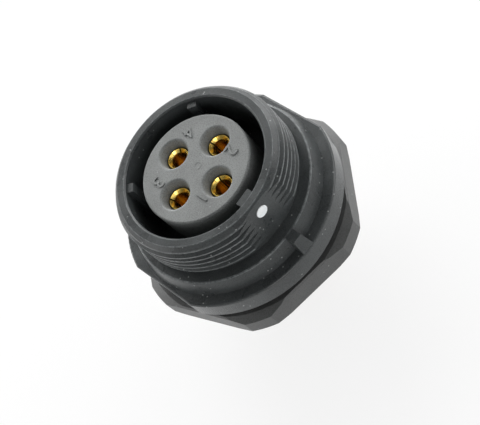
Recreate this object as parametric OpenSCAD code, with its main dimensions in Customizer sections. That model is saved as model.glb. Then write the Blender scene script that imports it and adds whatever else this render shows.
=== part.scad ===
// Four-pole circular panel receptacle, fixed from behind by a hexagonal nut.
// Millimetres. The panel plane is z = 0, the mating face looks along +Z,
// and the wide key, the tab and the dot lie on -Y.

/* [Inserts and contacts' places] */
// Diameter of the front insert, from which the shell is built outwards
insert_d = 14.6; // [14:0.1:15.2]
// Distance of the insert's face below the rim face
insert_recess = 0.6; // [0.3:0.05:2]
// Rounding of the insert's front edge
insert_edge_r = 0.25; // [0.1:0.05:0.5]
// Radial clearance between the insert and the hole in the web
insert_clearance = 0.05; // [0.02:0.01:0.1]
// Radial step from the insert to its shoulder behind the web
shoulder_step = 1.1; // [1.05:0.05:1.5]
// Thickness of the shoulder behind the web
shoulder_t = 2; // [1.5:0.1:2.5]
// Thickness of the rear insert
rear_insert_t = 3.5; // [2.5:0.1:3.5]
// Radial clearance between the inserts and the barrel's bore
barrel_clearance = 0.1; // [0.05:0.01:0.15]
// Width of the locating rib on both inserts
rib_w = 2; // [1.2:0.1:3]
// Height of the locating rib
rib_h = 0.45; // [0.3:0.05:0.5]
// Clearance round the locating rib
rib_clearance = 0.05; // [0.02:0.01:0.1]
// Section diameter of the seal between insert and web
seal_d = 0.98; // [0.8:0.02:1]
// Play that is left round the seals
seal_play = 0.01; // [0.005:0.005:0.02]
// Diameter of the circle the contacts stand on
contact_circle_d = 8; // [7.6:0.1:8.4]

/* [Cavity and keys] */
// Radial gap between the insert and the sleeve, which takes the plug's nose
cavity_gap = 2.15; // [1.8:0.05:2.4]
// Depth of the cavity
cavity_depth = 9; // [7:0.1:9.5]
// Small bevel round the cavity's mouth
mouth_bevel = 0.2; // [0.1:0.05:0.4]
// Width of the wide key
wide_key_w = 2.2; // [1.6:0.05:3]
// Height of the wide key above the cavity's wall
wide_key_h = 0.73; // [0.4:0.01:1.2]
// Width of each small key
small_key_w = 1.2; // [0.8:0.05:1.8]
// Height of each small key above the cavity's wall
small_key_h = 0.88; // [0.4:0.01:1.2]
// Angle between the wide key and each small key
small_key_angle = 135; // [100:1:150]
// Distance from the rim face to the small keys' fronts
small_key_set_back = 0.5; // [0.2:0.05:1.5]
// Thickness of the web behind the cavity
web_t = 2.5; // [1.5:0.1:3]

/* [Front sleeve] */
// Length of the sleeve from the flange's front face to the rim
sleeve_len = 8.95; // [8:0.05:12]
// Wall of the sleeve under the thread
sleeve_wall = 1.5; // [1:0.05:2]
// Height of the coupling thread's ridges
thread_depth = 0.55; // [0.4:0.01:0.65]
// Pitch of the coupling thread and of the barrel's thread
thread_pitch = 1; // [0.8:0.05:1.5]
// Width of the flat on each thread crest
crest_w = 0.22; // [0.1:0.01:0.4]
// Depth of the relief between thread and collar, below the thread's root
relief_depth = 0.05; // [0:0.01:0.3]
// Width of the relief between thread and collar
relief_w = 0.85; // [0.5:0.05:1.2]
// Radial width of the flat rim face
rim_face_w = 1.1; // [0.7:0.05:1.2]
// Small step down at the edge of the flat rim face
rim_step = 0.06; // [0.02:0.01:0.1]
// Drop of the rim's bevel down to the edge of the lead ring
rim_bevel_h = 0.44; // [0.3:0.02:0.48]
// Radial distance of the lead ring's lower edge inside the thread's crests
lead_inset = 0.34; // [0.2:0.02:0.4]
// Radial narrowing of the lead ring from its lower edge up to the bevel
lead_taper = 0.1; // [0.04:0.02:0.14]
// Distance from the rim face to the middle of the first thread crest
lead_len = 1.37; // [1.36:0.01:1.8]
// Depth of each moulding flat on the sleeve, from the thread's crest
sleeve_flat_depth = 0.72; // [0.6:0.02:0.9]

/* [Collar and index tab] */
// Radial step from the thread's crest to the collar
collar_step = 1; // [0.6:0.05:1.2]
// Height of the collar above the flange's front face
collar_h = 2.25; // [1.5:0.05:3]
// Rounding of the collar's front edge
collar_edge_r = 0.3; // [0.1:0.05:0.8]
// Widening of the collar's side from its front down to the flange
collar_taper = 0.6; // [0.2:0.05:0.8]
// Width of the index tab where it meets the flange
tab_base_w = 1.8; // [1.2:0.05:3]
// Width of the index tab at its front
tab_front_w = 1.4; // [0.8:0.05:3]
// Reach of the tab's front edge beyond the collar
tab_reach = 1.4; // [0.8:0.05:1.8]

/* [Flange and gasket] */
// Radial step from the collar to the flange's edge
flange_step = 2.1; // [1.8:0.05:3]
// Depth of the cut on each side of the flange
flange_cut = 0.95; // [0.3:0.05:1]
// Thickness of the flange
flange_t = 2.85; // [2:0.05:4]
// Rounding of the flange's front edge
flange_edge_r = 0.3; // [0.15:0.05:0.8]
// Bevel of the flange's rear edge
flange_rear_bevel = 0.14; // [0.05:0.01:0.3]
// Thickness of the flat ring between flange and panel
gasket_t = 1.2; // [0.8:0.1:2]
// Distance from the flange's edge to the gasket's edge
gasket_inset = 1.25; // [0.9:0.05:2]
// Radial clearance between the gasket and the barrel
gasket_clearance = 0.1; // [0.05:0.05:0.3]

/* [Rear barrel and retaining ring] */
// Length of the barrel behind the panel plane
barrel_len = 8.5; // [8:0.1:12]
// Wall of the barrel under its thread
barrel_wall = 1.2; // [1:0.05:1.6]
// Height of the ridges of the barrel's thread
barrel_thread_depth = 0.55; // [0.4:0.01:0.6]
// Depth of each moulding flat on the barrel, from the thread's crest
barrel_flat_depth = 0.35; // [0.2:0.02:0.5]
// Radial step down from the crests to the plain length behind the flange
pilot_step = 0.25; // [0.1:0.05:0.4]
// Depth of the groove for the retaining ring
ring_groove_depth = 0.5; // [0.3:0.05:0.6]
// Thickness of the retaining ring
ring_t = 0.93; // [0.6:0.01:1]
// Radial width of the retaining ring
ring_w = 1; // [0.8:0.05:1.2]
// Half of the ring's opening, as an angle
ring_gap = 16; // [10:1:25]
// Diameter of the ring's lugs
ring_lug_d = 1.8; // [1.4:0.1:2]
// Diameter of the holes in the lugs
ring_hole_d = 0.8; // [0.6:0.05:1]

/* [Lock nut] */
// Distance from the barrel's crests to the nut's flats
nut_wall = 3.9; // [3:0.05:4.5]
// Radial distance by which the nut's trimmed corners pass its flats
nut_corner_step = 1.25; // [0.8:0.05:1.8]
// Thickness of the nut
nut_t = 3.4; // [2.5:0.1:4]
// Distance of the nut's front face behind the panel plane
nut_back = 0.35; // [0.1:0.05:3]
// Depth of the corner bevel on both faces
nut_bevel = 0.55; // [0.3:0.05:0.9]
// Small bevel along the flats on both faces
nut_edge = 0.22; // [0.1:0.02:0.4]
// Turn of the nut about the axis
nut_turn = 17.6; // [0:0.1:60]
// Radial clearance between the nut and the barrel's crests
nut_clearance = 0.05; // [0.02:0.01:0.1]
// Depth of the nut's thread grooves
nut_groove = 0.5; // [0.2:0.05:0.6]
// Bevel at both ends of the nut's bore
nut_bore_bevel = 0.35; // [0.2:0.05:0.5]

/* [Contacts] */
// Outer diameter of a socket contact
contact_d = 2.9; // [2.6:0.05:3]
// Bore of a socket contact
contact_bore_d = 2.04; // [1.9:0.02:2.1]
// Depth of a socket contact's bore
contact_bore_depth = 6; // [5.6:0.1:8]
// Distance of the contact's mouth below the rim face
contact_recess = 1.75; // [1.2:0.01:3]
// Radial width of the bevel inside the contact's mouth
contact_bevel = 0.3; // [0.15:0.05:0.3]
// Depth of the bevel inside the contact's mouth
contact_bevel_len = 0.4; // [0.2:0.05:0.6]
// Width of the slot that runs across a contact's mouth
slot_w = 0.2; // [0.15:0.01:0.4]
// Length of the slot that runs across a contact's mouth
slot_len = 5; // [3:0.1:5.5]
// Turn of the slots in contact 1
slot_turn_1 = 58; // [0:1:180]
// Turn of the slots in contact 2
slot_turn_2 = 101; // [0:1:180]
// Turn of the slots in contact 3
slot_turn_3 = 123; // [0:1:180]
// Turn of the slots in contact 4
slot_turn_4 = 32; // [0:1:180]
// Radial step from the contact to its captive shoulder
captive_step = 0.45; // [0.35:0.01:0.5]
// Length of the contact's captive shoulder
captive_t = 1.2; // [0.8:0.05:1.2]
// Radial clearance between a contact and its holes
contact_clearance = 0.03; // [0.01:0.01:0.05]
// Radial clearance round the captive shoulder
captive_clearance = 0.05; // [0.02:0.01:0.1]
// Distance of the solder cups' ends behind the panel plane
cup_end = 13.5; // [11:0.1:15]
// Wall of a solder cup
cup_wall = 0.4; // [0.3:0.05:0.6]
// Depth of a solder cup
cup_depth = 4.5; // [3:0.1:5]
// Length of the cut that opens the solder cup
cup_cut = 3.2; // [2:0.1:4]
// Radial clearance round a contact's mouth in the insert
chamber_gap = 0.15; // [0.1:0.05:0.3]
// Radial width of the countersink at the insert's face
sink_w = 0.4; // [0.3:0.05:0.6]
// Rounding of the countersink's edge at the insert's face
sink_edge_r = 0.3; // [0.1:0.05:0.4]

/* [Index dot] */
// Diameter of the dot
dot_d = 1.6; // [1:0.1:2]
// Distance of the dot's centre below the rim face
dot_drop = 2.1; // [1.8:0.05:4]
// Thickness of the dot
dot_t = 0.2; // [0.1:0.05:0.3]
// Depth of the dot's seat
dot_seat = 0.12; // [0.05:0.01:0.3]

/* [Hidden] */
$fn = 96;
eps = 0.01;
weld = 0.5;          // how far the forms of one solid run into each other
over = 1;            // how far a cutter runs past the face that it cuts
foot_gap = 0.08;     // root left beside each thread ridge
lead_flank = 0.1;    // height of the lead ring's lower flank
lead_groove = 0.04;  // root between the lead ring and the first crest
end_bevel = 0.2;     // bevel at the barrel's end and below its pilot
thread_end = 0.9;    // from the barrel's end to the middle of its first crest
tab_root = 0.7;      // how deep the tab runs into the flange
tab_lip = 0.35;      // height of the tab's outer edge below the flange's face
ring_play = 0.05;    // play of the retaining ring in its groove
dot_play = 0.02;     // play of the dot in its seat
lug_turn = 6.5;      // angle from the ring's end to the middle of its lug
edge_bevel = 0.05;   // bevel of a contact's outer front edge
cup_bevel = 0.12;    // bevel of a solder cup's outer edge
cup_side = 0.15;     // from the contact's axis to the face of the open cup
bore_point = 0.55;   // depth of the drilled point below a contact's bore
chamber_depth = 7;   // depth of the free space round a contact's front
rear_funnel = 0.4;   // widening of the rear insert's holes at their ends
groove_mouth = 0.32; // half width of a nut groove at the bore, in pitches
groove_root = 0.06;  // half width of a nut groove at its root, in pitches
// radii, from the insert outwards
insert_r = insert_d / 2;
shoulder_r = insert_r + shoulder_step;
rib_r = shoulder_r + rib_h;
cavity_r = insert_r + cavity_gap;
rim_face_r = cavity_r + rim_face_w;
thread_root_r = cavity_r + sleeve_wall;
thread_r = thread_root_r + thread_depth;
sleeve_flat = thread_r - sleeve_flat_depth;
collar_r = thread_r + collar_step;
tab_r = collar_r + tab_reach;
flange_r = collar_r + flange_step;
flange_side_x = flange_r - flange_cut;
barrel_bore_r = shoulder_r + barrel_clearance;
ring_groove_r = barrel_bore_r + ring_groove_depth;
barrel_root_r = barrel_bore_r + barrel_wall;
barrel_r = barrel_root_r + barrel_thread_depth;
barrel_flat = barrel_r - barrel_flat_depth;
pilot_r = barrel_r - pilot_step;
gasket_bore_r = barrel_r + gasket_clearance;
gasket_r = flange_r - gasket_inset;
nut_bore_r = barrel_r + nut_clearance;
nut_half = barrel_r + nut_wall;
nut_corner_r = nut_half + nut_corner_step;
// heights, from the panel plane
flange_z = gasket_t;
flange_front = flange_z + flange_t;
collar_front = flange_front + collar_h;
rim_z = flange_front + sleeve_len;
thread_start = collar_front + relief_w;
thread_foot = thread_pitch / 2 - foot_gap;
first_crest = rim_z - lead_len;
thread_n = floor((first_crest - thread_foot - thread_start) / thread_pitch) + 1;
lead_ring_r = thread_r - lead_inset;
lead_ring_z = first_crest + thread_foot + lead_groove + lead_flank;
floor_z = rim_z - cavity_depth;
web_z = floor_z - web_t;
barrel_thread_z = -0.1;
barrel_n = floor((barrel_len - thread_end) / thread_pitch);
insert_face = rim_z - insert_recess;
seal_r = seal_d / 2;
seal_ring_r = (insert_r + shoulder_r) / 2;
shoulder_front = web_z - seal_d - 2 * seal_play;
shoulder_back = shoulder_front - shoulder_t;
rear_back = shoulder_back - rear_insert_t;
// contacts
contact_r = contact_d / 2;
contact_bore_r = contact_bore_d / 2;
captive_r = contact_r + captive_step;
captive_hole_r = captive_r + captive_clearance;
captive_front = shoulder_back + captive_t;
contact_seal_r = (captive_hole_r - contact_r) / 2 - seal_play;
contact_seal_ring_r = (captive_hole_r + contact_r) / 2;
captive_hole_front = captive_front + 2 * contact_seal_r + 2 * seal_play;
mouth_z = rim_z - contact_recess;
chamber_r = contact_r + chamber_gap;
chamber_back = mouth_z - chamber_depth;
bore_z = mouth_z - contact_bore_depth;

// Where contact n stands: 1 by the wide key, then 2, 4 and 3 round the circle.
function contact_angle(n) = n == 1 ? -90 : n == 2 ? 0 : n == 4 ? 90 : 180;
function slot_turn(n) = n == 1 ? slot_turn_1 : n == 2 ? slot_turn_2 : n == 3 ? slot_turn_3 : slot_turn_4;

// One ring-shaped thread ridge, as points of a turned outline, from low to high z.
function ridge(z, root, crest, foot) = [
    [root, z - foot], [crest, z - crest_w / 2], [crest, z + crest_w / 2], [root, z + foot]
];

module at_contact(n) {
    rotate([0, 0, contact_angle(n)])
        translate([contact_circle_d / 2, 0, 0])
            rotate([0, 0, -contact_angle(n)])
                children();
}

// Solid of revolution of the tapered collar and the flange, with rounded edges.
module flange_and_collar() {
    lean = atan2(collar_taper, collar_h);
    round_t = collar_edge_r * tan(45 - lean / 2);
    round_c = [collar_r - round_t, collar_front - collar_edge_r];
    rotate_extrude() {
        difference() {
            translate([cavity_r - weld, flange_z])
                square([flange_r - cavity_r + weld, flange_t]);
            translate([flange_r - flange_edge_r, flange_front - flange_edge_r])
                difference() {
                    square(flange_edge_r + over);
                    circle(r = flange_edge_r);
                }
            translate([flange_r - flange_rear_bevel, flange_z])
                rotate(-45)
                    translate([0, -over])
                        square(over);
        }
        difference() {
            polygon([
                [cavity_r - weld, flange_z], [collar_r + collar_taper, flange_z],
                [collar_r + collar_taper, flange_front], [collar_r, collar_front],
                [cavity_r - weld, collar_front]
            ]);
            difference() {
                polygon([
                    round_c, [round_c[0], collar_front + over], [collar_r + over, collar_front + over],
                    [collar_r + over, collar_front - round_t * cos(lean)],
                    [collar_r + round_t * sin(lean), collar_front - round_t * cos(lean)]
                ]);
                translate(round_c)
                    circle(r = collar_edge_r);
            }
        }
    }
}

// Cuts one side of the flange flat, with the same rounded front edge.
module flange_side() {
    translate([flange_side_x, -flange_r, 0])
        cube([flange_r, 2 * flange_r, flange_front + eps]);
    translate([flange_side_x - flange_edge_r, flange_r, flange_front - flange_edge_r])
        rotate([90, 0, 0])
            linear_extrude(height = 2 * flange_r)
                difference() {
                    square(flange_edge_r + over);
                    circle(r = flange_edge_r);
                }
}

// Turned outline of the threaded front sleeve.
module sleeve_turned() {
    relief_r = thread_root_r - relief_depth;
    back_r = cavity_r - weld;
    ridges = [
        for (i = [thread_n - 1:-1:0])
            each ridge(first_crest - i * thread_pitch, thread_root_r, thread_r, thread_foot)
    ];
    rotate_extrude()
        polygon(concat(
            [
                [back_r, flange_z], [relief_r, flange_z],
                [relief_r, thread_start], [thread_root_r, thread_start]
            ],
            ridges,
            [
                [thread_root_r, lead_ring_z - lead_flank],
                [lead_ring_r, lead_ring_z],
                [lead_ring_r - lead_taper, rim_z - rim_step - rim_bevel_h],
                [rim_face_r, rim_z - rim_step],
                [rim_face_r, rim_z],
                [back_r, rim_z]
            ]
        ));
}

// Turned outline of the rear barrel with its thread ridges.
module barrel_turned() {
    first = -barrel_len + thread_end;
    ridges = [
        for (i = [0:barrel_n - 1])
            each ridge(first + i * thread_pitch, barrel_root_r, barrel_r, thread_foot)
    ];
    rotate_extrude()
        polygon(concat(
            [[barrel_bore_r, -barrel_len], [barrel_root_r - end_bevel, -barrel_len],
             [barrel_root_r, -barrel_len + end_bevel]],
            ridges,
            [[barrel_root_r, barrel_thread_z], [pilot_r, barrel_thread_z + end_bevel],
             [pilot_r, flange_z + eps], [barrel_bore_r, flange_z + eps]]
        ));
}

// The index tab: a drafted block between the collar and the flange's edge.
module index_tab() {
    y_in = collar_r - weld;
    y_out = flange_r - edge_bevel;
    z_in = flange_front - tab_root;
    intersection() {
        translate([-tab_base_w, 0, 0])
            rotate([90, 0, 90])
                linear_extrude(height = 2 * tab_base_w)
                    polygon([
                        [-y_in, z_in], [-y_out, z_in], [-y_out, flange_front - tab_lip],
                        [-tab_r, collar_front], [-y_in, collar_front]
                    ]);
        rotate([90, 0, 0])
            linear_extrude(height = flange_r)
                polygon([
                    [-tab_base_w / 2, z_in], [tab_base_w / 2, z_in],
                    [tab_base_w / 2, flange_front], [tab_front_w / 2, collar_front],
                    [-tab_front_w / 2, collar_front], [-tab_base_w / 2, flange_front]
                ]);
    }
}

// One key: a straight rib on the cavity's wall, from its floor to the given height.
module key(w, h, top, turn) {
    rotate([0, 0, -90 + turn])
        intersection() {
            translate([cavity_r - h, -w / 2, floor_z - eps])
                cube([h + weld, w, top - floor_z + eps]);
            cylinder(r = cavity_r + weld, h = rim_z);
        }
}

module receptacle_shell() {
    color([0.11, 0.115, 0.12])
        union() {
            difference() {
                union() {
                    flange_and_collar();
                    intersection() {
                        sleeve_turned();
                        translate([-flange_r, -sleeve_flat, flange_z])
                            cube([2 * flange_r, 2 * sleeve_flat, rim_z]);
                    }
                    intersection() {
                        barrel_turned();
                        translate([-flange_r, -barrel_flat, -barrel_len])
                            cube([2 * flange_r, 2 * barrel_flat, barrel_len + flange_z + over]);
                    }
                    translate([0, 0, web_z])
                        cylinder(r = cavity_r + weld / 2, h = web_t);
                }
                flange_side();
                mirror([1, 0, 0])
                    flange_side();
                // cavity with its bevelled mouth
                translate([0, 0, floor_z])
                    cylinder(r = cavity_r, h = cavity_depth + over);
                translate([0, 0, rim_z - mouth_bevel])
                    cylinder(r1 = cavity_r, r2 = cavity_r + 2 * mouth_bevel, h = 2 * mouth_bevel);
                // hole for the insert, and the bore behind it
                translate([0, 0, web_z - over])
                    cylinder(r = insert_r + insert_clearance, h = web_t + 2 * over);
                translate([0, 0, -barrel_len - over])
                    cylinder(r = barrel_bore_r, h = barrel_len + over + web_z);
                // groove for the retaining ring
                translate([0, 0, rear_back - ring_t - ring_play])
                    cylinder(r = ring_groove_r, h = ring_t + 2 * ring_play);
                // keyway for the inserts' rib
                translate([-rib_w / 2 - rib_clearance, -rib_r - rib_clearance, -barrel_len - over])
                    cube([rib_w + 2 * rib_clearance, rib_r,
                          barrel_len + over + shoulder_front + 2 * rib_clearance]);
                // shallow seat of the dot
                translate([0, -sleeve_flat + dot_seat, rim_z - dot_drop])
                    rotate([90, 0, 0])
                        cylinder(r = dot_d / 2 + dot_play, h = over);
            }
            index_tab();
            key(wide_key_w, wide_key_h, rim_z, 0);
            key(small_key_w, small_key_h, rim_z - small_key_set_back, small_key_angle);
            key(small_key_w, small_key_h, rim_z - small_key_set_back, -small_key_angle);
        }
}

// Rib that keeps an insert from turning in the barrel.
module insert_rib(z0, z1) {
    translate([-rib_w / 2, -rib_r, z0])
        cube([rib_w, rib_h + weld, z1 - z0]);
}

// Cutter of one countersink: a cone that ends in a rounded edge.
module contact_sink() {
    lean = atan2(insert_face - mouth_z, sink_w);
    round_t = sink_edge_r * tan(lean / 2);
    sink_r = chamber_r + sink_w;
    round_c = [sink_r + round_t, insert_face - sink_edge_r];
    rotate_extrude() {
        polygon([
            [0, mouth_z], [chamber_r, mouth_z], [sink_r, insert_face],
            [sink_r, insert_face + over], [0, insert_face + over]
        ]);
        difference() {
            polygon([
                round_c, [sink_r + round_t, insert_face + over], [sink_r - eps, insert_face + over],
                [sink_r - round_t * cos(lean) - eps, insert_face - round_t * sin(lean)]
            ]);
            translate(round_c)
                circle(r = sink_edge_r);
        }
    }
}

module front_insert() {
    color([0.13, 0.13, 0.13])
        difference() {
            union() {
                rotate_extrude()
                    difference() {
                        translate([0, shoulder_back])
                            square([insert_r, insert_face - shoulder_back]);
                        translate([insert_r - insert_edge_r, insert_face - insert_edge_r])
                            difference() {
                                square(insert_edge_r + over);
                                circle(r = insert_edge_r);
                            }
                    }
                translate([0, 0, shoulder_back])
                    cylinder(r = shoulder_r, h = shoulder_t);
                insert_rib(shoulder_back, shoulder_front);
            }
            for (n = [1:4])
                at_contact(n) {
                    contact_sink();
                    translate([0, 0, chamber_back])
                        cylinder(r = chamber_r, h = mouth_z - chamber_back + eps);
                    translate([0, 0, shoulder_back])
                        cylinder(r = contact_r + contact_clearance, h = mouth_z - shoulder_back);
                    translate([0, 0, shoulder_back - over])
                        cylinder(r = captive_hole_r, h = captive_hole_front - shoulder_back + over);
                }
        }
}

module rear_insert() {
    color([0.13, 0.13, 0.13])
        difference() {
            union() {
                translate([0, 0, rear_back])
                    cylinder(r = shoulder_r, h = rear_insert_t);
                insert_rib(rear_back, shoulder_back);
            }
            for (n = [1:4])
                at_contact(n) {
                    translate([0, 0, rear_back - over])
                        cylinder(r = contact_r + contact_clearance, h = rear_insert_t + 2 * over);
                    translate([0, 0, rear_back - eps])
                        cylinder(r1 = contact_r + rear_funnel, r2 = contact_r, h = rear_funnel);
                }
        }
}

module insert_seal() {
    color([0.55, 0.13, 0.08])
        rotate_extrude()
            translate([seal_ring_r, web_z - seal_play - seal_r])
                circle(r = seal_r, $fn = 32);
}

// Snap ring with a gap and two holed lugs.
module retaining_ring() {
    outer = ring_groove_r - ring_play;
    inner = outer - ring_w;
    lug = inner + (ring_w - ring_lug_d) / 2 + 2 * ring_play;
    color([0.45, 0.46, 0.48])
        translate([0, 0, rear_back - ring_t])
            rotate([0, 0, 90 + ring_gap])
                difference() {
                    union() {
                        rotate_extrude(angle = 360 - 2 * ring_gap)
                            translate([inner, 0])
                                square([ring_w, ring_t]);
                        for (a = [lug_turn, 360 - 2 * ring_gap - lug_turn])
                            rotate([0, 0, a])
                                translate([lug, 0, 0])
                                    cylinder(d = ring_lug_d, h = ring_t);
                    }
                    for (a = [lug_turn, 360 - 2 * ring_gap - lug_turn])
                        rotate([0, 0, a])
                            translate([lug, 0, -over])
                                cylinder(d = ring_hole_d, h = ring_t + 2 * over);
                }
}

// A turned socket: slotted mouth, captive shoulder, and a solder cup cut open outwards.
module socket_contact(n) {
    color([0.83, 0.63, 0.28])
        at_contact(n)
            difference() {
                rotate_extrude()
                    polygon([
                        [0, -cup_end], [contact_r - cup_bevel, -cup_end], [contact_r, -cup_end + cup_bevel],
                        [contact_r, shoulder_back], [captive_r, shoulder_back],
                        [captive_r, captive_front], [contact_r, captive_front],
                        [contact_r, mouth_z - edge_bevel], [contact_r - edge_bevel, mouth_z], [0, mouth_z]
                    ]);
                // bore with its drilled point and the wide bevel of its mouth
                rotate_extrude()
                    polygon([
                        [0, bore_z - bore_point], [contact_bore_r, bore_z],
                        [contact_bore_r, mouth_z - contact_bevel_len],
                        [contact_bore_r + contact_bevel, mouth_z],
                        [contact_bore_r + contact_bevel, mouth_z + over], [0, mouth_z + over]
                    ]);
                rotate([0, 0, slot_turn(n)])
                    translate([-contact_d, -slot_w / 2, mouth_z - slot_len])
                        cube([2 * contact_d, slot_w, slot_len + over]);
                translate([0, 0, -cup_end - over])
                    cylinder(r = contact_r - cup_wall, h = cup_depth + over);
                rotate([0, 0, contact_angle(n)])
                    translate([cup_side, -contact_d, -cup_end - over])
                        cube([contact_d, 2 * contact_d, cup_cut + over]);
            }
}

module contact_seal(n) {
    color([0.55, 0.13, 0.08])
        at_contact(n)
            translate([0, 0, captive_front + seal_play + contact_seal_r])
                rotate_extrude()
                    translate([contact_seal_ring_r, 0])
                        circle(r = contact_seal_r, $fn = 24);
}

module panel_gasket() {
    color([0.09, 0.09, 0.09])
        difference() {
            cylinder(r = gasket_r, h = gasket_t);
            translate([0, 0, -over])
                cylinder(r = gasket_bore_r, h = gasket_t + 2 * over);
        }
}

// One thread groove of the nut, as points of the bore's turned outline.
function nut_groove_points(z) = [
    [nut_bore_r, z - groove_mouth * thread_pitch],
    [nut_bore_r + nut_groove, z - groove_root * thread_pitch],
    [nut_bore_r + nut_groove, z + groove_root * thread_pitch],
    [nut_bore_r, z + groove_mouth * thread_pitch]
];

module nut_blank() {
    top = nut_corner_r - 2 * nut_bevel;
    intersection() {
        rotate([0, 0, nut_turn + 30])
            cylinder(r = nut_half / cos(30), h = nut_t, $fn = 6);
        rotate_extrude()
            polygon([
                [0, 0], [top, 0], [nut_corner_r, nut_bevel],
                [nut_corner_r, nut_t - nut_bevel], [top, nut_t], [0, nut_t]
            ]);
    }
}

module lock_nut() {
    free = nut_t - 2 * nut_bore_bevel - 2 * groove_mouth * thread_pitch;
    turns = floor(free / thread_pitch) + 1;
    first = nut_t / 2 - (turns - 1) / 2 * thread_pitch;
    mouth = nut_bore_r + nut_bore_bevel;
    color([0.12, 0.115, 0.11])
        translate([0, 0, -nut_back - nut_t])
            difference() {
                nut_blank();
                for (k = [0:5])
                    rotate([0, 0, nut_turn + 60 * k])
                        for (z = [0, nut_t])
                            translate([nut_half, 0, z])
                                rotate([0, 45, 0])
                                    cube([nut_edge * sqrt(2), 2 * nut_half, nut_edge * sqrt(2)],
                                         center = true);
                rotate_extrude()
                    polygon(concat(
                        [[0, -over], [mouth, -over], [mouth, 0], [nut_bore_r, nut_bore_bevel]],
                        [for (i = [0:turns - 1]) each nut_groove_points(first + i * thread_pitch)],
                        [[nut_bore_r, nut_t - nut_bore_bevel], [mouth, nut_t],
                         [mouth, nut_t + over], [0, nut_t + over]]
                    ));
            }
}

module index_dot() {
    color([0.93, 0.93, 0.91])
        translate([0, -sleeve_flat + dot_seat, rim_z - dot_drop])
            rotate([90, 0, 0])
                cylinder(r = dot_d / 2, h = dot_t);
}

module socket_contact_1() { socket_contact(1); }
module socket_contact_2() { socket_contact(2); }
module socket_contact_3() { socket_contact(3); }
module socket_contact_4() { socket_contact(4); }
module contact_seal_1() { contact_seal(1); }
module contact_seal_2() { contact_seal(2); }
module contact_seal_3() { contact_seal(3); }
module contact_seal_4() { contact_seal(4); }

receptacle_shell();
front_insert();
rear_insert();
insert_seal();
retaining_ring();
socket_contact_1();
socket_contact_2();
socket_contact_3();
socket_contact_4();
contact_seal_1();
contact_seal_2();
contact_seal_3();
contact_seal_4();
panel_gasket();
lock_nut();
index_dot();
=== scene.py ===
"""Looks of a four-pole circular panel receptacle: finishes, moulded numbers, studio stage."""

import math

import bmesh
import bpy
from mathutils import Matrix, Vector


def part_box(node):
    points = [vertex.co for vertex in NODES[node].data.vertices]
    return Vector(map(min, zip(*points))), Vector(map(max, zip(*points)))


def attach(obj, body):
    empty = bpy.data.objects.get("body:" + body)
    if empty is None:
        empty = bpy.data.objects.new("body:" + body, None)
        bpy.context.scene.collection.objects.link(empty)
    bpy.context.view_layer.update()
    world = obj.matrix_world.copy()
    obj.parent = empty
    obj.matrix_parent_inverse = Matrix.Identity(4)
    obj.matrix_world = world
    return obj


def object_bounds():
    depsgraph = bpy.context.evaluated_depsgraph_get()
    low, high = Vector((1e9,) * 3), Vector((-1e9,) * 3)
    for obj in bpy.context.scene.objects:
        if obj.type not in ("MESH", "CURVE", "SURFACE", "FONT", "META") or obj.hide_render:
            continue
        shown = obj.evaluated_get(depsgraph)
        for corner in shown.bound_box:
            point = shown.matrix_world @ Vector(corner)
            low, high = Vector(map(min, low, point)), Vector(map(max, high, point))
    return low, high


bl_info = {
    "name": "Panel receptacle looks",
    "version": (1, 0, 0),
    "blender": (4, 5, 0),
    "location": "View3D > Sidebar > Connector",
    "description": "Dresses the packed solids of a circular panel receptacle",
    "category": "Object",
}

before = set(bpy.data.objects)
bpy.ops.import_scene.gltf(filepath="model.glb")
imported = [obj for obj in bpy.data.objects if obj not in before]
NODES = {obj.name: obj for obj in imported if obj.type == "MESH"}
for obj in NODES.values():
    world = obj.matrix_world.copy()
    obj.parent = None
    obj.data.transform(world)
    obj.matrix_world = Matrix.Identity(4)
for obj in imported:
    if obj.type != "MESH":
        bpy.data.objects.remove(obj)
CAD_BOX = [list(corner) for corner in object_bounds()]


def low(node):
    """Lowest corner of a solid's box."""
    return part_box(node)[0]


def high(node):
    """Highest corner of a solid's box."""
    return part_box(node)[1]


# Lengths are in metres where no other unit is given.

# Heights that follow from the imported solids.
INSERT_FACE_Z = high("front_insert")[2]
INSERT_BACK_Z = low("rear_insert")[2]
FLOOR_Z = CAD_BOX[0][2]

# Nodes that share a finish.
CONTACTS = [f"socket_contact_{number}" for number in range(1, 5)]
CONTACT_SEALS = [f"contact_seal_{number}" for number in range(1, 5)]

# Rings of the shell painted paler as highlight lines along the thread crests and edges, in broken
# patches: radius, half width, lowest, highest.
PAINTED_HIGHLIGHT_RINGS = (
    (0.01150, 0.00005, 0.0070, 0.0125),
    (0.01116, 0.00006, 0.0121, 0.0130),
    (0.01055, 0.00006, 0.0128, 0.0131),
    (0.00965, 0.00005, 0.0128, 0.0131),
    (0.01240, 0.00012, 0.0058, 0.0064),
)
# The flange's side, which comes smoother out of the mould, in the same four numbers.
FLANGE_EDGE = (0.01450, 0.00130, 0.0010, 0.0040)

# Radius and angle of each contact's number on the insert.
NUMBER_PLACES = {
    "1": (0.00440, math.radians(-125.5)),
    "2": (0.00502, math.radians(-36)),
    "3": (0.00506, math.radians(140.5)),
    "4": (0.00524, math.radians(51.5)),
}
# Height of a figure as a share of the font's size.
FIGURE_SHARE = 0.70
# Vertices of a number closer than this become one.
MERGE_DISTANCE = 1e-7

# The insert's gate mark: its place beside the axis, how deep its foot sits in the face,
# its height above that foot, the width of its lip as a share of its size, and its dip.
GATE_PLACE = (0.0004, -0.0002)
GATE_FOOT = 0.00002
GATE_HEIGHT = 0.00006
GATE_LIP = 0.16
GATE_DIP = 0.00003

# The plastics' patterns: sizes of the cloudy sheen, of the breaks in the painted highlight rings
# and of the slow waves in moulded faces, the depth of those waves, and the specks of dust.
CLOUD_SIZE = 0.004
HIGHLIGHT_BREAK_SIZE = 0.0006
WAVE_SIZE = 0.0022
WAVE_DEPTH = 0.00002
SPECK_CELL = 0.0010
SPECK_RADIUS = 0.00012
SPECK_COLOUR = (0.26, 0.27, 0.265)
PLASTIC_IOR = 1.5
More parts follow.
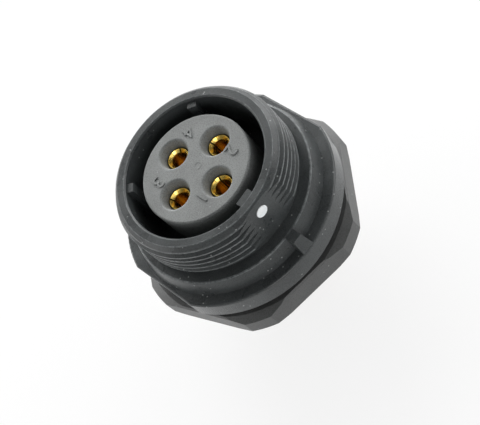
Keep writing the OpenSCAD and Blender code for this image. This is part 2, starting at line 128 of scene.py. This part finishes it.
# Roughness of a polished ring as a share of the plastic's own.
POLISH_SHARE = 0.45

# Gold plating: how much of each colour its warm depths keep, how metallic it is, and the
# turning marks, whose noise is far finer along the axis than across it.
GOLD_DEPTH = (0.92, 0.84, 0.66)
GOLD_METALLIC = 0.93
TURNING_SCALE = (300.0, 300.0, 9000.0)
TURNING_DEPTH = 0.000004
STEEL_METALLIC = 0.9

# The floor: half its width, its colour, and the distances from the axis between which its
# shadow fades out.
FLOOR_REACH = 1.5
FLOOR_COLOUR = (0.93, 0.935, 0.935)
SHADOW_FADE = (0.025, 0.085)

# The ceiling's tone, and the range of direction heights over which the walls turn into it.
CEILING_TONE = 0.3
CEILING_BAND = (0.25, 0.8)

# The ring of square soft lights round the object: the sides of the key and fill lights,
# their turns about the axis in degrees, and each fill light's share of the fill power.
LAMP_DISTANCE = 0.45
LAMP_RISE = math.radians(21)
KEY_TURN = 66
KEY_SIZE = 0.36
FILL_SIZE = 0.25
FILL_LAMPS = (
    (20, 1.0), (113, 0.8), (157, 0.35), (203, 0.12), (247, 0.6), (292, 0.12), (340, 0.75))

# The camera's turn about the axis, and its tilts about its own X and Y, in radians.
CAMERA_TURN = math.radians(-48.885)
CAMERA_TILT_X = -0.47575
CAMERA_TILT_Y = -0.46892
# The width of the camera's sensor, in millimetres.
SENSOR_WIDTH = 36.0
# The nearest and farthest distance that the camera sees.
CLIP_RANGE = (0.005, 10.0)


class PlasticFinish(bpy.types.PropertyGroup):
    """Colours and surface of the moulded plastics."""

    shell_colour: bpy.props.FloatVectorProperty(
        name="Shell colour", description="Colour of the moulded shell",
        subtype="COLOR", size=3, min=0.0, max=1.0, default=(0.0390, 0.0430, 0.0437))
    insert_colour: bpy.props.FloatVectorProperty(
        name="Insert colour", description="Colour of both contact inserts",
        subtype="COLOR", size=3, min=0.0, max=1.0, default=(0.140, 0.147, 0.144))
    nut_colour: bpy.props.FloatVectorProperty(
        name="Nut colour", description="Colour of the lock nut",
        subtype="COLOR", size=3, min=0.0, max=1.0, default=(0.0520, 0.0535, 0.0530))
    shell_roughness: bpy.props.FloatProperty(
        name="Shell roughness", description="Roughness of the shell's satin finish",
        min=0.05, max=1.0, default=0.30)
    insert_roughness: bpy.props.FloatProperty(
        name="Insert roughness", description="Roughness of the inserts' matt finish",
        min=0.05, max=1.0, default=0.62)
    nut_roughness: bpy.props.FloatProperty(
        name="Nut roughness", description="Roughness of the nut's matt finish",
        min=0.05, max=1.0, default=0.40)
    grain: bpy.props.FloatProperty(
        name="Grain", description="Size of the mould's fine grain",
        unit="LENGTH", min=0.00002, max=0.001, default=0.00016)


class MetalFinish(bpy.types.PropertyGroup):
    """Colours and surface of the metal pieces."""

    gold_colour: bpy.props.FloatVectorProperty(
        name="Gold colour", description="Colour of the contacts' gold plating",
        subtype="COLOR", size=3, min=0.0, max=1.0, default=(1.0, 0.72, 0.19))
    gold_roughness: bpy.props.FloatProperty(
        name="Gold roughness", description="Roughness of the gold plating",
        min=0.02, max=1.0, default=0.15)
    spring_colour: bpy.props.FloatVectorProperty(
        name="Spring steel colour", description="Colour of the phosphated retaining ring",
        subtype="COLOR", size=3, min=0.0, max=1.0, default=(0.16, 0.165, 0.17))


class RubberFinish(bpy.types.PropertyGroup):
    """Colours of the seals."""

    gasket_colour: bpy.props.FloatVectorProperty(
        name="Gasket colour", description="Colour of the panel gasket",
        subtype="COLOR", size=3, min=0.0, max=1.0, default=(0.016, 0.016, 0.016))
    seal_colour: bpy.props.FloatVectorProperty(
        name="Seal colour", description="Colour of the inner O-rings",
        subtype="COLOR", size=3, min=0.0, max=1.0, default=(0.32, 0.045, 0.022))


class MarkSizes(bpy.types.PropertyGroup):
    """Sizes of the moulded marks, and the dot's colour."""

    digit_height: bpy.props.FloatProperty(
        name="Number height", description="Height of the moulded contact numbers",
        unit="LENGTH", min=0.0008, max=0.003, default=0.0018)
    digit_relief: bpy.props.FloatProperty(
        name="Number relief", description="How far the numbers stand out of the insert",
        unit="LENGTH", min=0.00002, max=0.0003, default=0.00014)
    gate_mark_size: bpy.props.FloatProperty(
        name="Gate mark", description="Diameter of the low gate mark in the insert's middle",
        unit="LENGTH", min=0.0004, max=0.002, default=0.0009)
    dot_colour: bpy.props.FloatVectorProperty(
        name="Dot colour", description="Colour of the index dot",
        subtype="COLOR", size=3, min=0.0, max=1.0, default=(0.93, 0.96, 0.97))


class StageSetup(bpy.types.PropertyGroup):
    """Floor, light and camera."""

    lens: bpy.props.FloatProperty(
        name="Lens", description="Focal length for a 36 mm wide sensor, in millimetres",
        min=20.0, max=300.0, default=100.86)
    camera_place: bpy.props.FloatVectorProperty(
        name="Camera place", description="Where the camera stands",
        subtype="TRANSLATION", unit="LENGTH", size=3, default=(-0.01420, -0.10322, 0.13553))
    world_level: bpy.props.FloatProperty(
        name="World level", description="Strength of the even light from all sides",
        min=0.0, max=2.0, default=0.15)
    floor_white: bpy.props.FloatProperty(
        name="Floor white", description="Share of plain white in the floor as the camera sees it",
        min=0.0, max=1.0, default=0.78)
    key_power: bpy.props.FloatProperty(
        name="Key light", description="Power of the main soft light, in watts",
        min=0.0, max=20.0, default=3.0)
    fill_power: bpy.props.FloatProperty(
        name="Fill lights", description="Power of the strongest soft light of the ring, in watts",
        min=0.0, max=20.0, default=0.9)


# Materials ---------------------------------------------------------------------------------

def new_material(name):
    """An empty node material with its principled shader and output."""
    material = bpy.data.materials.new(name)
    material.use_nodes = True
    tree = material.node_tree
    tree.nodes.clear()
    shader = tree.nodes.new("ShaderNodeBsdfPrincipled")
    output = tree.nodes.new("ShaderNodeOutputMaterial")
    tree.links.new(shader.outputs["BSDF"], output.inputs["Surface"])
    return material, tree, shader


def tinted(colour, factor, lift=0.0):
    """A colour made lighter or darker by a factor, and then lifted a little."""
    return tuple(min(1.0, c * factor + lift) for c in colour)


def noise(tree, size, detail=2.0, roughness=0.5):
    """Noise on object coordinates whose features are about the given size in metres."""
    place = tree.nodes.new("ShaderNodeTexCoord")
    texture = tree.nodes.new("ShaderNodeTexNoise")
    texture.inputs["Scale"].default_value = 1.0 / size
    texture.inputs["Detail"].default_value = detail
    texture.inputs["Roughness"].default_value = roughness
    tree.links.new(place.outputs["Object"], texture.inputs["Vector"])
    return texture.outputs["Fac"]


def spread(tree, value, low_in, high_in, low_out=0.0, high_out=1.0):
    """Maps one range of a value to another, which is 0 to 1 unless it is given."""
    node = tree.nodes.new("ShaderNodeMapRange")
    node.inputs["From Min"].default_value = low_in
    node.inputs["From Max"].default_value = high_in
    node.inputs["To Min"].default_value = low_out
    node.inputs["To Max"].default_value = high_out
    tree.links.new(value, node.inputs["Value"])
    return node.outputs["Result"]


def blend_colours(tree, factor, first, second):
    """Mixes two colours, or a colour socket with a colour, by a factor socket."""
    node = tree.nodes.new("ShaderNodeMix")
    node.data_type = "RGBA"
    tree.links.new(factor, node.inputs["Factor"])
    for socket, colour in ((node.inputs["A"], first), (node.inputs["B"], second)):
        if isinstance(colour, bpy.types.NodeSocket):
            tree.links.new(colour, socket)
        else:
            socket.default_value = (*colour, 1.0)
    return node.outputs["Result"]


def blend_values(tree, factor, first, second):
    """Mixes a value socket with a number by a factor socket."""
    node = tree.nodes.new("ShaderNodeMix")
    tree.links.new(factor, node.inputs["Factor"])
    tree.links.new(first, node.inputs["A"])
    node.inputs["B"].default_value = second
    return node.outputs["Result"]


def bump(tree, shader, heights):
    """Adds bumps of several heights, each a (socket, depth in metres) pair, to a shader."""
    normal = None
    for height, depth in heights:
        node = tree.nodes.new("ShaderNodeBump")
        node.inputs["Strength"].default_value = 1.0
        node.inputs["Distance"].default_value = depth
        tree.links.new(height, node.inputs["Height"])
        if normal is not None:
            tree.links.new(normal, node.inputs["Normal"])
        normal = node.outputs["Normal"]
    tree.links.new(normal, shader.inputs["Normal"])


def both_of(tree, first, second):
    """The product of two masks."""
    node = tree.nodes.new("ShaderNodeMath")
    node.operation = "MULTIPLY"
    tree.links.new(first, node.inputs[0])
    tree.links.new(second, node.inputs[1])
    return node.outputs["Value"]


def dust(tree, cell, radius, share):
    """A mask of small round specks, one in some of the cells of the given size."""
    place = tree.nodes.new("ShaderNodeTexCoord")
    cells = tree.nodes.new("ShaderNodeTexVoronoi")
    cells.inputs["Scale"].default_value = 1.0 / cell
    tree.links.new(place.outputs["Object"], cells.inputs["Vector"])
    near = spread(tree, cells.outputs["Distance"], radius / cell, radius / cell * 0.5)
    pick = tree.nodes.new("ShaderNodeSeparateColor")
    tree.links.new(cells.outputs["Color"], pick.inputs["Color"])
    chosen = tree.nodes.new("ShaderNodeMath")
    chosen.operation = "LESS_THAN"
    chosen.inputs[1].default_value = share
    tree.links.new(pick.outputs["Red"], chosen.inputs[0])
    return both_of(tree, near, chosen.outputs["Value"])


def axis_distance(tree):
    """Distance from the connector's axis."""
    place = tree.nodes.new("ShaderNodeTexCoord")
    flat = tree.nodes.new("ShaderNodeVectorMath")
    flat.operation = "MULTIPLY"
    flat.inputs[1].default_value = (1.0, 1.0, 0.0)
    tree.links.new(place.outputs["Object"], flat.inputs[0])
    length = tree.nodes.new("ShaderNodeVectorMath")
    length.operation = "LENGTH"
    tree.links.new(flat.outputs["Vector"], length.inputs[0])
    return length.outputs["Value"]


def ring_mask(tree, radius, width, z_low, z_high):
    """A soft mask on rings of one radius about the axis, between two heights."""
    place = tree.nodes.new("ShaderNodeTexCoord")
    axes = tree.nodes.new("ShaderNodeSeparateXYZ")
    tree.links.new(place.outputs["Object"], axes.inputs["Vector"])
    near = tree.nodes.new("ShaderNodeMath")
    near.operation = "COMPARE"
    near.inputs[1].default_value = radius
    near.inputs[2].default_value = width
    tree.links.new(axis_distance(tree), near.inputs[0])
    level = tree.nodes.new("ShaderNodeMath")
    level.operation = "COMPARE"
    level.inputs[1].default_value = (z_low + z_high) / 2
    level.inputs[2].default_value = (z_high - z_low) / 2
    tree.links.new(axes.outputs["Z"], level.inputs[0])
    return both_of(tree, near.outputs["Value"], level.outputs["Value"])


def moulded_plastic(name, colour, roughness, grain, grain_depth, specks, gloss=0.5, highlight_rings=(),
                    polished=None):
    """Black moulded plastic: fine grain, cloudy sheen, a little dust, and pale rings of painted
    highlight along crests and edges.
    """
    material, tree, shader = new_material(name)
    lighter = tinted(colour, 1.5)
    darker = tinted(colour, 0.72)
    highlight_tone = tinted(colour, 3.0, lift=0.02)
    cloud = noise(tree, CLOUD_SIZE, detail=3.0)
    tone = blend_colours(tree, spread(tree, cloud, 0.35, 0.65), colour, lighter)
    # The grain's hills are lighter and its hollows darker.
    fine = noise(tree, grain * 0.8, detail=2.0)
    tone = blend_colours(tree, spread(tree, fine, 0.52, 0.66, high_out=0.8), tone, lighter)
    tone = blend_colours(tree, spread(tree, fine, 0.48, 0.34, high_out=0.8), tone, darker)
    highlight_breaks = noise(tree, HIGHLIGHT_BREAK_SIZE, detail=3.0, roughness=0.7)
    broken_highlight = spread(tree, highlight_breaks, 0.38, 0.62, low_out=0.15)
    # Painted highlights: paler rings along the thread crests and edges, broken up in patches.
    for ring in highlight_rings:
        tone = blend_colours(tree, both_of(tree, ring_mask(tree, *ring), broken_highlight), tone, highlight_tone)
    speck = dust(tree, SPECK_CELL, SPECK_RADIUS, specks)
    tone = blend_colours(tree, speck, tone, SPECK_COLOUR)
    tree.links.new(tone, shader.inputs["Base Color"])
    sheen = spread(tree, cloud, 0.3, 0.7, roughness - 0.05, roughness + 0.06)
    if polished:
        sheen = blend_values(tree, ring_mask(tree, *polished), sheen, roughness * POLISH_SHARE)
    tree.links.new(sheen, shader.inputs["Roughness"])
    shader.inputs["IOR"].default_value = PLASTIC_IOR
    shader.inputs["Specular IOR Level"].default_value = gloss
    bump(tree, shader, [
        (noise(tree, WAVE_SIZE, detail=1.0), WAVE_DEPTH),
        (noise(tree, grain, detail=3.0, roughness=0.6), grain_depth),
    ])
    return material


def gold_plating(colour, roughness):
    """Gold plating over turned brass, with fine turning marks and warm depths."""
    material, tree, shader = new_material("gold_plating")
    place = tree.nodes.new("ShaderNodeTexCoord")
    squash = tree.nodes.new("ShaderNodeMapping")
    squash.inputs["Scale"].default_value = TURNING_SCALE
    rings = tree.nodes.new("ShaderNodeTexNoise")
    rings.inputs["Scale"].default_value = 1.0
    rings.inputs["Detail"].default_value = 2.0
    tree.links.new(place.outputs["Object"], squash.inputs["Vector"])
    tree.links.new(squash.outputs["Vector"], rings.inputs["Vector"])
    deep = tuple(c * f for c, f in zip(colour, GOLD_DEPTH))
    mottle = spread(tree, noise(tree, size=0.0012), 0.35, 0.7)
    tree.links.new(blend_colours(tree, mottle, colour, deep), shader.inputs["Base Color"])
    shader.inputs["Metallic"].default_value = GOLD_METALLIC
    tree.links.new(
        spread(tree, rings.outputs["Fac"], 0.3, 0.7, roughness - 0.06, roughness + 0.08),
        shader.inputs["Roughness"])
    bump(tree, shader, [(rings.outputs["Fac"], TURNING_DEPTH)])
    return material


def spring_steel(colour):
    """Dark phosphated spring steel."""
    material, tree, shader = new_material("phosphated_steel")
    mottle = noise(tree, size=0.0005, detail=3.0)
    lighter = tinted(colour, 1.7)
    tree.links.new(
        blend_colours(tree, spread(tree, mottle, 0.35, 0.7), colour, lighter),
        shader.inputs["Base Color"])
    shader.inputs["Metallic"].default_value = STEEL_METALLIC
    tree.links.new(spread(tree, mottle, 0.3, 0.7, 0.35, 0.55), shader.inputs["Roughness"])
    bump(tree, shader, [(mottle, 0.000008)])
    return material


def soft_rubber(name, colour):
    """Matt rubber with a faint bloom."""
    material, tree, shader = new_material(name)
    bloom = noise(tree, size=0.0015, detail=3.0)
    paler = tinted(colour, 1.4, lift=0.01)
    tree.links.new(
        blend_colours(tree, spread(tree, bloom, 0.4, 0.75), colour, paler),
        shader.inputs["Base Color"])
    shader.inputs["Roughness"].default_value = 0.7
    bump(tree, shader, [(noise(tree, size=0.0002, detail=2.0), 0.000012)])
    return material


def marking_lacquer(colour):
    """White marking lacquer, slightly uneven."""
    material, tree, shader = new_material("marking_lacquer")
    brushed = noise(tree, size=0.0006, detail=2.0)
    greyer = tinted(colour, 0.9)
    tree.links.new(
        blend_colours(tree, spread(tree, brushed, 0.4, 0.7), colour, greyer),
        shader.inputs["Base Color"])
    shader.inputs["Roughness"].default_value = 0.35
    bump(tree, shader, [(brushed, 0.00001)])
    return material


def finish_node(node, material):
    """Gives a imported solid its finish."""
    slots = NODES[node].data.materials
    slots.clear()
    slots.append(material)


# New pieces --------------------------------------------------------------------------------

def mesh_piece(name, shape, material, body):
    """Turns a bmesh into a piece that rides on a body."""
    mesh = bpy.data.meshes.new(name)
    shape.to_mesh(mesh)
    shape.free()
    mesh.materials.append(material)
    piece = bpy.data.objects.new(name, mesh)
    bpy.context.scene.collection.objects.link(piece)
    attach(piece, body)


def digit_mesh(digit, height, relief):
    """A raised number as a mesh, centred on the origin, its back on z = 0."""
    curve = bpy.data.curves.new("number_outline", "FONT")
    curve.body = digit
    curve.size = height / FIGURE_SHARE
    curve.align_x = "CENTER"
    curve.align_y = "CENTER"
    curve.extrude = relief / 2
    curve.resolution_u = 6
    outline = bpy.data.objects.new("number_outline", curve)
    bpy.context.scene.collection.objects.link(outline)
    bpy.context.view_layer.update()
    mesh = bpy.data.meshes.new_from_object(
        outline.evaluated_get(bpy.context.evaluated_depsgraph_get()))
    shape = bmesh.new()
    shape.from_mesh(mesh)
    bpy.data.objects.remove(outline)
    bpy.data.curves.remove(curve)
    bpy.data.meshes.remove(mesh)
    bmesh.ops.remove_doubles(shape, verts=shape.verts, dist=MERGE_DISTANCE)
    xs = [v.co.x for v in shape.verts]
    ys = [v.co.y for v in shape.verts]
    middle = Vector(((min(xs) + max(xs)) / 2, (min(ys) + max(ys)) / 2, -relief / 2))
    bmesh.ops.translate(shape, verts=shape.verts, vec=-middle)
    return shape


def number_piece(digit, turn, circle, face_z, upwards, material, sizes):
    """One moulded number on an insert's face; its top points to the wide key."""
    shape = digit_mesh(digit, sizes.digit_height, sizes.digit_relief)
    spot = Vector((circle * math.cos(turn), circle * math.sin(turn), face_z))
    flip = Matrix.Rotation(math.pi, 4, "Z" if upwards else "X")
    bmesh.ops.transform(shape, matrix=Matrix.Translation(spot) @ flip, verts=shape.verts)
    side = "front" if upwards else "rear"
    mesh_piece(f"{side}_number_{digit}", shape, material, "shell")


def gate_mark(size, material):
    """The low round mark that the mould's gate leaves in the middle of the insert."""
    shape = bmesh.new()
    bmesh.ops.create_circle(shape, cap_ends=True, segments=32, radius=size / 2)
    bmesh.ops.translate(shape, verts=shape.verts, vec=(*GATE_PLACE, INSERT_FACE_Z - GATE_FOOT))
    rim = bmesh.ops.extrude_face_region(shape, geom=shape.faces[:])
    top = [item for item in rim["geom"] if isinstance(item, bmesh.types.BMVert)]
    bmesh.ops.translate(shape, verts=top, vec=(0.0, 0.0, GATE_HEIGHT))
    lip = [item for item in rim["geom"] if isinstance(item, bmesh.types.BMFace)]
    bmesh.ops.inset_region(shape, faces=lip, thickness=size * GATE_LIP, depth=-GATE_DIP)
    bmesh.ops.recalc_face_normals(shape, faces=shape.faces)
    mesh_piece("gate_mark", shape, material, "shell")


# Steps -------------------------------------------------------------------------------------

class CONNECTOR_OT_shell(bpy.types.Operator):
    """Gives the moulded shell its satin black finish"""

    bl_idname = "connector.shell"
    bl_label = "Finish shell"

    def execute(self, context):
        plastic = context.scene.plastic_finish
        finish_node("receptacle_shell", moulded_plastic(
            "satin_black_plastic", plastic.shell_colour, plastic.shell_roughness,
            plastic.grain, grain_depth=0.000012, specks=0.6, gloss=0.32,
            highlight_rings=PAINTED_HIGHLIGHT_RINGS, polished=FLANGE_EDGE))
        return {"FINISHED"}


class CONNECTOR_OT_inserts(bpy.types.Operator):
    """Finishes both inserts and moulds the contact numbers on them"""

    bl_idname = "connector.inserts"
    bl_label = "Finish inserts and numbers"

    def execute(self, context):
        plastic = context.scene.plastic_finish
        marks = context.scene.mark_sizes
        matt = moulded_plastic(
            "matt_insert_plastic", plastic.insert_colour, plastic.insert_roughness,
            plastic.grain, grain_depth=0.00002, specks=0.1)
        finish_node("front_insert", matt)
        finish_node("rear_insert", matt)
        for digit, (circle, turn) in NUMBER_PLACES.items():
            number_piece(digit, turn, circle, INSERT_FACE_Z, True, matt, marks)
            number_piece(digit, turn, circle, INSERT_BACK_Z, False, matt, marks)
        gate_mark(marks.gate_mark_size, matt)
        return {"FINISHED"}


class CONNECTOR_OT_contacts(bpy.types.Operator):
    """Gold-plates the four socket contacts"""

    bl_idname = "connector.contacts"
    bl_label = "Plate contacts"

    def execute(self, context):
        metal = context.scene.metal_finish
        gold = gold_plating(metal.gold_colour, metal.gold_roughness)
        for node in CONTACTS:
            finish_node(node, gold)
        return {"FINISHED"}


class CONNECTOR_OT_seals(bpy.types.Operator):
    """Finishes the gasket, the O-rings and the retaining ring"""

    bl_idname = "connector.seals"
    bl_label = "Finish seals and retaining ring"

    def execute(self, context):
        rubber = context.scene.rubber_finish
        finish_node("panel_gasket", soft_rubber("gasket_rubber", rubber.gasket_colour))
        silicone = soft_rubber("seal_silicone", rubber.seal_colour)
        for node in ["insert_seal", *CONTACT_SEALS]:
            finish_node(node, silicone)
        finish_node("retaining_ring", spring_steel(context.scene.metal_finish.spring_colour))
        return {"FINISHED"}


class CONNECTOR_OT_lock_nut(bpy.types.Operator):
    """Gives the lock nut its matt finish"""

    bl_idname = "connector.lock_nut"
    bl_label = "Finish lock nut"

    def execute(self, context):
        plastic = context.scene.plastic_finish
        finish_node("lock_nut", moulded_plastic(
            "matt_nut_plastic", plastic.nut_colour, plastic.nut_roughness,
            plastic.grain, grain_depth=0.000018, specks=0.4))
        return {"FINISHED"}


class CONNECTOR_OT_dot(bpy.types.Operator):
    """Paints the index dot"""

    bl_idname = "connector.dot"
    bl_label = "Paint index dot"

    def execute(self, context):
        finish_node("index_dot", marking_lacquer(context.scene.mark_sizes.dot_colour))
        return {"FINISHED"}


# Stage -------------------------------------------------------------------------------------

def seen_directly(tree, otherwise, value):
    """A value for what the camera, a mirror or glass sees, and another for all other light."""
    seen = tree.nodes.new("ShaderNodeLightPath")
    level = seen.outputs["Is Camera Ray"]
    for ray in ("Is Glossy Ray", "Is Transmission Ray"):
        either = tree.nodes.new("ShaderNodeMath")
        either.operation = "MAXIMUM"
        tree.links.new(level, either.inputs[0])
        tree.links.new(seen.outputs[ray], either.inputs[1])
        level = either.outputs["Value"]
    return spread(tree, level, 0.0, 1.0, low_out=otherwise, high_out=value)


def white_floor(share):
    """A wide white floor under the lowest point, which keeps the soft shadow.

    Away from the object it turns to plain white, and from below it can be seen through.
    """
    shape = bmesh.new()
    bmesh.ops.create_grid(shape, x_segments=1, y_segments=1, size=FLOOR_REACH)
    bmesh.ops.translate(shape, verts=shape.verts, vec=(0.0, 0.0, FLOOR_Z))
    mesh = bpy.data.meshes.new("floor")
    shape.to_mesh(mesh)
    shape.free()
    floor = bpy.data.objects.new("floor", mesh)
    bpy.context.scene.collection.objects.link(floor)
    material, tree, shader = new_material("floor_white")
    shader.inputs["Base Color"].default_value = (*FLOOR_COLOUR, 1.0)
    shader.inputs["Roughness"].default_value = 0.8
    shader.inputs["Specular IOR Level"].default_value = 0.1
    white = tree.nodes.new("ShaderNodeEmission")
    both = tree.nodes.new("ShaderNodeMixShader")
    fade = spread(tree, axis_distance(tree), *SHADOW_FADE, low_out=share)
    tree.links.new(
        both_of(tree, seen_directly(tree, 0.0, 1.0), fade), both.inputs["Fac"])
    tree.links.new(shader.outputs["BSDF"], both.inputs[1])
    tree.links.new(white.outputs["Emission"], both.inputs[2])
    side = tree.nodes.new("ShaderNodeNewGeometry")
    clear = tree.nodes.new("ShaderNodeBsdfTransparent")
    one_way = tree.nodes.new("ShaderNodeMixShader")
    tree.links.new(side.outputs["Backfacing"], one_way.inputs["Fac"])
    tree.links.new(both.outputs["Shader"], one_way.inputs[1])
    tree.links.new(clear.outputs["BSDF"], one_way.inputs[2])
    output = next(node for node in tree.nodes if node.bl_idname == "ShaderNodeOutputMaterial")
    tree.links.new(one_way.outputs["Shader"], output.inputs["Surface"])
    mesh.materials.append(material)


def studio_world(level):
    """White walls under a darker ceiling; their light is set apart from how they look."""
    world = bpy.data.worlds.new("surroundings")
    bpy.context.scene.world = world
    world.use_nodes = True
    tree = world.node_tree
    tree.nodes.clear()
    direction = tree.nodes.new("ShaderNodeTexCoord")
    height = tree.nodes.new("ShaderNodeSeparateXYZ")
    tree.links.new(direction.outputs["Generated"], height.inputs["Vector"])
    background = tree.nodes.new("ShaderNodeBackground")
    tree.links.new(
        spread(tree, height.outputs["Z"], *CEILING_BAND, low_out=1.0, high_out=CEILING_TONE),
        background.inputs["Color"])
    tree.links.new(seen_directly(tree, level, 1.0), background.inputs["Strength"])
    output = tree.nodes.new("ShaderNodeOutputWorld")
    tree.links.new(background.outputs["Background"], output.inputs["Surface"])


def ring_lamp(name, turn, power, size):
    """A square area lamp on the ring of lights round the object, which it points at."""
    data = bpy.data.lights.new(name, "AREA")
    data.shape = "SQUARE"
    data.size = size
    data.energy = power
    lamp = bpy.data.objects.new(name, data)
    bpy.context.scene.collection.objects.link(lamp)
    lamp.visible_camera = False
    angle, reach = math.radians(turn), math.cos(LAMP_RISE)
    lamp.location = LAMP_DISTANCE * Vector((
        reach * math.cos(angle), reach * math.sin(angle), math.sin(LAMP_RISE)))
    lamp.rotation_euler = (-lamp.location).to_track_quat("-Z", "Y").to_euler()


def main_camera(setup):
    """The camera: it looks into the cavity from the index side, with the horizon rolled."""
    data = bpy.data.cameras.new("camera")
    data.sensor_fit = "HORIZONTAL"
    data.sensor_width = SENSOR_WIDTH
    data.lens = setup.lens
    data.clip_start, data.clip_end = CLIP_RANGE
    camera = bpy.data.objects.new("camera", data)
    bpy.context.scene.collection.objects.link(camera)
    tilt = Matrix.Rotation(CAMERA_TILT_X, 4, "X") @ Matrix.Rotation(CAMERA_TILT_Y, 4, "Y")
    turn = Matrix.Rotation(CAMERA_TURN, 4, "Z")
    camera.matrix_world = Matrix.Translation(setup.camera_place) @ turn @ tilt.inverted()
    bpy.context.scene.camera = camera


class CONNECTOR_OT_stage(bpy.types.Operator):
    """Sets the floor, the surroundings, the lamps and the camera"""

    bl_idname = "connector.stage"
    bl_label = "Set stage"

    def execute(self, context):
        setup = context.scene.stage_setup
        context.scene.view_settings.view_transform = "Standard"
        white_floor(setup.floor_white)
        studio_world(setup.world_level)
        ring_lamp("key_lamp", KEY_TURN, setup.key_power, KEY_SIZE)
        for turn, share in FILL_LAMPS:
            ring_lamp(f"fill_lamp_{turn}", turn, setup.fill_power * share, FILL_SIZE)
        main_camera(setup)
        return {"FINISHED"}


OPERATORS = (
    CONNECTOR_OT_shell,
    CONNECTOR_OT_inserts,
    CONNECTOR_OT_contacts,
    CONNECTOR_OT_seals,
    CONNECTOR_OT_lock_nut,
    CONNECTOR_OT_dot,
    CONNECTOR_OT_stage,
)
SETTINGS = {
    "plastic_finish": PlasticFinish,
    "metal_finish": MetalFinish,
    "rubber_finish": RubberFinish,
    "mark_sizes": MarkSizes,
    "stage_setup": StageSetup,
}


class CONNECTOR_PT_panel(bpy.types.Panel):
    """Sizes, colours and steps of the receptacle"""

    bl_label = "Panel receptacle"
    bl_idname = "CONNECTOR_PT_panel"
    bl_space_type = "VIEW_3D"
    bl_region_type = "UI"
    bl_category = "Connector"

    def draw(self, context):
        for name, group in SETTINGS.items():
            box = self.layout.box()
            for prop in group.__annotations__:
                box.prop(getattr(context.scene, name), prop)
        for operator in OPERATORS:
            self.layout.operator(operator.bl_idname)


def register():
    """Registers the classes and hangs the settings on the scene."""
    for name, group in SETTINGS.items():
        bpy.utils.register_class(group)
        setattr(bpy.types.Scene, name, bpy.props.PointerProperty(type=group))
    for cls in (*OPERATORS, CONNECTOR_PT_panel):
        bpy.utils.register_class(cls)


def unregister():
    """Takes the classes and the settings away again."""
    for cls in reversed((*OPERATORS, CONNECTOR_PT_panel)):
        bpy.utils.unregister_class(cls)
    for name, group in SETTINGS.items():
        delattr(bpy.types.Scene, name)
        bpy.utils.unregister_class(group)


def main():
    """Runs every step in order."""
    register()
    bpy.ops.connector.shell()
    bpy.ops.connector.inserts()
    bpy.ops.connector.contacts()
    bpy.ops.connector.seals()
    bpy.ops.connector.lock_nut()
    bpy.ops.connector.dot()
    bpy.ops.connector.stage()


if __name__ == "__main__":
    main()
